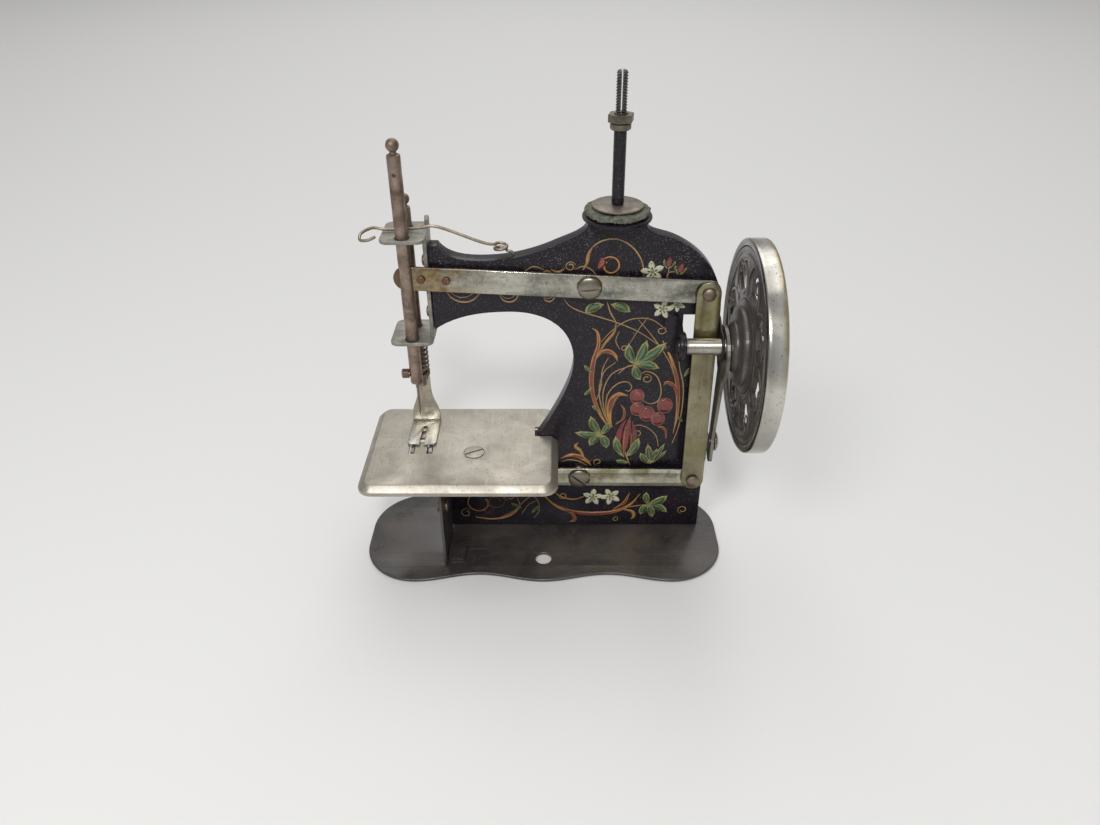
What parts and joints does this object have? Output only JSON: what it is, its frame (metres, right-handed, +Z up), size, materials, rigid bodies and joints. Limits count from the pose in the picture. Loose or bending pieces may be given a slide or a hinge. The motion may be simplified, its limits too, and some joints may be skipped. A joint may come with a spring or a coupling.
{
  "type": "sewing machine",
  "caption": "Small hand-cranked chain-stitch sewing machine of pressed sheet metal with handwheel, rocking levers, needle bar, presser foot, cloth plate and scalloped base.",
  "frame": {"origin": "centre of the underside of the base plate, on the surface that the machine stands on", "axes": "+Z up, +X from the needle towards the handwheel, +Y from the front to the back"},
  "size_m": [0.159, 0.0792, 0.1911],
  "materials": {
    "black_litho": "black stoved enamel over tin plate, printed with gold scrolls, green leaves and red berries",
    "worn_black": "black enamel worn to brown at the edges",
    "plate_nickel": "matte light nickel plate with fine scratches",
    "grey_sheet": "dull grey oxidised sheet steel",
    "brown_steel": "brown tarnished steel",
    "tarnished_nickel": "greenish-grey tarnished nickel plate",
    "bright_nickel": "bright nickel plate with a brassy worn streak",
    "dark_cast": "dark gun-metal grey casting",
    "spindle_black": "black enamel",
    "felt": "grey-green felt",
    "brass": "dull brown brass"
  },
  "bodies": {
    "frame": {"base_plate": "worn_black", "front_leg": "worn_black", "leg_foot": "worn_black", "body_front_shell": "black_litho", "body_back_shell": "black_litho", "cloth_plate": "plate_nickel", "cloth_plate_screw": "plate_nickel", "head_bracket": "grey_sheet", "bracket_rivet_1": "brown_steel", "bracket_rivet_2": "brown_steel", "needle_lever_pivot_screw": "tarnished_nickel", "needle_lever_pivot_spacer": "tarnished_nickel", "lower_lever_pivot_screw": "tarnished_nickel", "lower_lever_pivot_spacer": "tarnished_nickel", "thread_guide_wire": "brown_steel", "spindle_disc": "spindle_black", "spindle_felt": "felt", "spindle_washer": "brown_steel", "spindle_rod": "spindle_black", "spindle_collar_nut": "brass", "spindle_hex_nut": "brass", "split_stud": "brown_steel", "looper_pin": "brown_steel"},
    "wheel": {"main_shaft": "bright_nickel", "eccentric": "dark_cast", "wheel_rim": "bright_nickel", "wheel_web": "dark_cast", "wheel_hub": "dark_cast", "wheel_nut": "bright_nickel"},
    "connecting_rod": {"connecting_rod": "tarnished_nickel", "rod_pivot_screw": "tarnished_nickel"},
    "needle_lever": {"needle_lever": "tarnished_nickel", "lever_rivet_1": "brown_steel", "lever_rivet_2": "brown_steel"},
    "vertical_link": {"vertical_link": "tarnished_nickel", "link_top_rivet": "tarnished_nickel", "link_bottom_rivet": "tarnished_nickel"},
    "lower_lever": {"lower_lever": "tarnished_nickel"},
    "needle_bar": {"needle_bar": "brown_steel", "needle": "tarnished_nickel", "needle_clamp_screw": "brown_steel"},
    "presser_bar": {"presser_bar": "brown_steel", "presser_foot": "plate_nickel", "presser_foot_screw": "plate_nickel", "presser_collar": "brown_steel", "presser_spring": "brown_steel"},
    "looper": {"looper": "brown_steel"},
    "feed_bar": {"feed_bar": "tarnished_nickel"}
  },
  "joints": [
    {"name": "wheel_turn", "type": "hinge", "parent": "frame", "child": "wheel", "pos_m": [0.076, -0.004, 0.0965], "axis": [1, 0, 0], "continuous": true},
    {"name": "rod_on_eccentric", "type": "hinge", "parent": "wheel", "child": "connecting_rod", "pos_m": [0.0686, -0.0009, 0.0919], "axis": [1, 0, 0], "continuous": true},
    {"name": "needle_lever_rock", "type": "hinge", "parent": "frame", "child": "needle_lever", "pos_m": [0.0178, 0.0033, 0.1174], "axis": [0, 1, 0], "range_deg": [-13.5, 1.2]},
    {"name": "link_on_lever", "type": "hinge", "parent": "needle_lever", "child": "vertical_link", "pos_m": [0.06144, 0.0018, 0.11511], "axis": [0, 1, 0], "range_deg": [-1.19, 13.31]},
    {"name": "lower_lever_rock", "type": "hinge", "parent": "frame", "child": "lower_lever", "pos_m": [0.0151, 0.0033, 0.0304], "axis": [0, 1, 0], "range_deg": [-12.51, 1.12]},
    {"name": "needle_bar_slide", "type": "slide", "parent": "frame", "child": "needle_bar", "axis": [0, 0, 1], "range_m": [-0.01577, 0.00141]},
    {"name": "looper_swing", "type": "hinge", "parent": "frame", "child": "looper", "pos_m": [-0.042, -0.0097, 0.0254], "axis": [1, 0, 0], "range_deg": [-10.13, 0.91]},
    {"name": "feed_slide", "type": "slide", "parent": "frame", "child": "feed_bar", "axis": [0, 1, 0], "range_m": [-0.00241, 0.00022]},
    {"name": "presser_lift", "type": "slide", "parent": "frame", "child": "presser_bar", "axis": [0, 0, 1], "range_m": [0, 0.005], "stiffness_N_per_m": 120, "springref_m": -0.004, "deforming": ["presser_spring"]}
  ],
  "couplings": [
    {"joint": "rod_on_eccentric", "follows": "wheel_turn", "ratio": -1},
    {"joint": "link_on_lever", "follows": "needle_lever_rock", "ratio": -0.985},
    {"joint": "lower_lever_rock", "follows": "needle_lever_rock", "ratio": 0.9258},
    {"joint": "needle_bar_slide", "follows": "needle_lever_rock", "m_per_rad": 0.06689},
    {"joint": "looper_swing", "follows": "needle_lever_rock", "ratio": 0.75},
    {"joint": "feed_slide", "follows": "needle_lever_rock", "m_per_rad": 0.0102}
  ]
}
